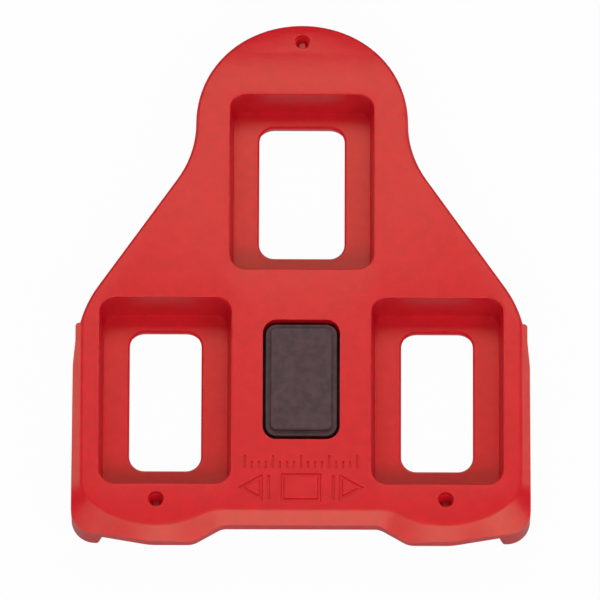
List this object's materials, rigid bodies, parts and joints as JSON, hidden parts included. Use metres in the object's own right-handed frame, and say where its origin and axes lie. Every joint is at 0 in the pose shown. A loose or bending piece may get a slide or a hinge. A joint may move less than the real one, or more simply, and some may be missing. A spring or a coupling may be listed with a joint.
{
  "type": "clipless pedal cleat",
  "caption": "Triangular moulded road pedal cleat with slotted bolt windows in washer pockets, hooked nose and tail lips and a rubber middle pad.",
  "frame": {"origin": "on the table, under the middle of the cleat's outline", "axes": "+Z out of the pedal face, +Y towards the nose, +X across the cleat"},
  "size_m": [0.0654, 0.0782, 0.0096],
  "materials": {
    "body_plastic": "moulded, fine satin",
    "pad_rubber": "matt, finely grained"
  },
  "bodies": {
    "root": {"cleat_body": "body_plastic", "centre_pad": "pad_rubber"}
  },
  "joints": []
}
